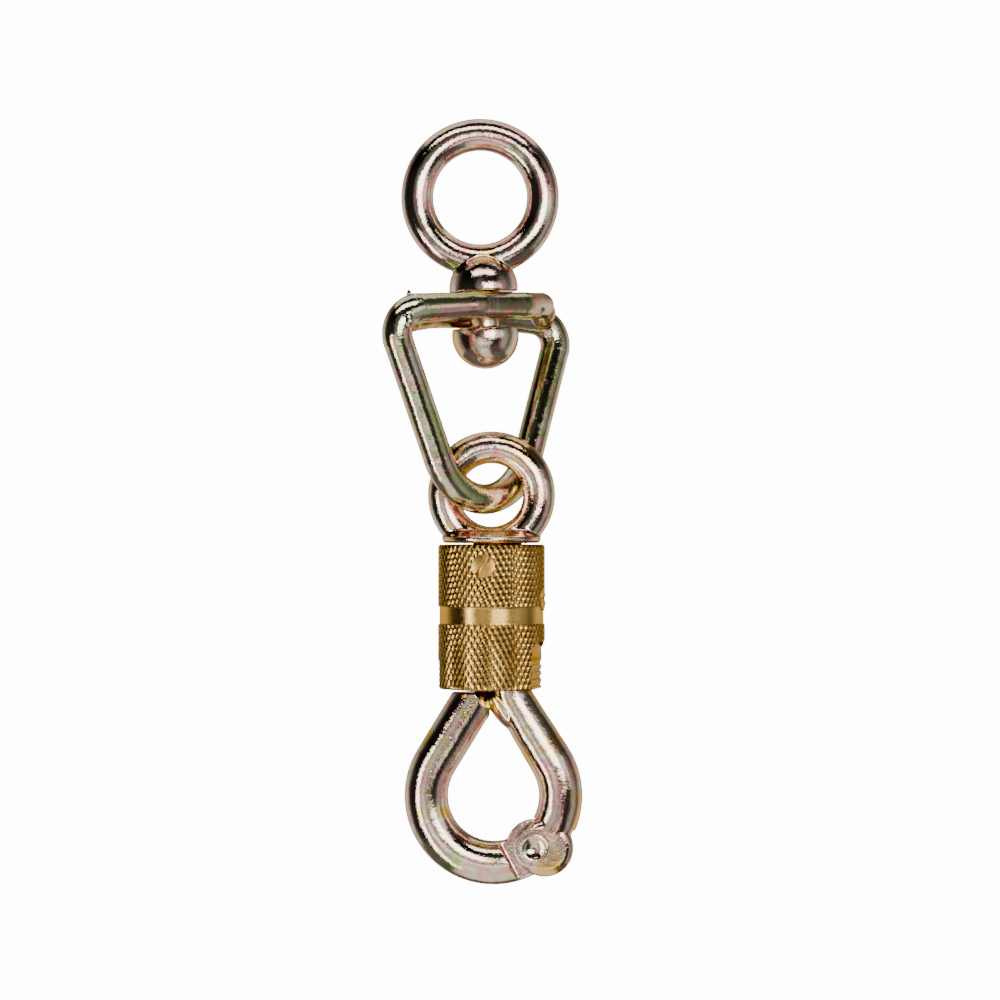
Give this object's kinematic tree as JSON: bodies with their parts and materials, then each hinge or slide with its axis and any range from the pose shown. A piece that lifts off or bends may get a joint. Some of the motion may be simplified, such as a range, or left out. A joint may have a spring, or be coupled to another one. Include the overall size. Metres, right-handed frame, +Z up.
{
  "type": "swivel snap hook",
  "caption": "Hanging snap hook: a top ring on a ball swivel carries a triangular link, an eye, a turning brass lock sleeve and a hook with a riveted hinged gate.",
  "frame": {"origin": "centre of the hole in the top ring", "axes": "+Z up along the chain towards the ring, -Y towards the viewer, +X to the right, on the side of the gate's hinge"},
  "size_m": [0.0496, 0.0501, 0.1914],
  "materials": {
    "zinc_steel": "bright zinc plate with pink, peach and green tints",
    "brass": "machined and knurled",
    "plain_steel": "plain ground"
  },
  "bodies": {
    "ring": {"swivel_ring": "zinc_steel", "swivel_ball": "zinc_steel"},
    "link": {"triangle_link": "zinc_steel"},
    "hook": {"eye": "zinc_steel", "stem_pin": "plain_steel", "hook_arm": "zinc_steel", "hinge_rivet": "zinc_steel"},
    "collar": {"sleeve": "brass", "detent_screw": "brass", "guide_screw": "brass", "detent_spring": "plain_steel", "detent_ball": "plain_steel"},
    "gate": {"gate": "zinc_steel"}
  },
  "joints": [
    {"name": "swivel_spin", "type": "hinge", "parent": "ring", "child": "link", "pos_m": [0.00108, 0, -0.02798], "axis": [-0.0384, 0, 0.9993], "continuous": true},
    {"name": "eye_swing", "type": "hinge", "parent": "link", "child": "hook", "pos_m": [0.00286, 0, -0.07434], "axis": [0, 1, 0], "range_deg": [-38, 38]},
    {"name": "sleeve_turn", "type": "hinge", "parent": "hook", "child": "collar", "pos_m": [0.00286, 0, -0.105], "axis": [0, 0, 1], "range_deg": [0, 90]},
    {"name": "gate_open", "type": "hinge", "parent": "hook", "child": "gate", "pos_m": [0.0134, 0, -0.16228], "axis": [0, -1, 0], "range_deg": [0, 60]}
  ]
}
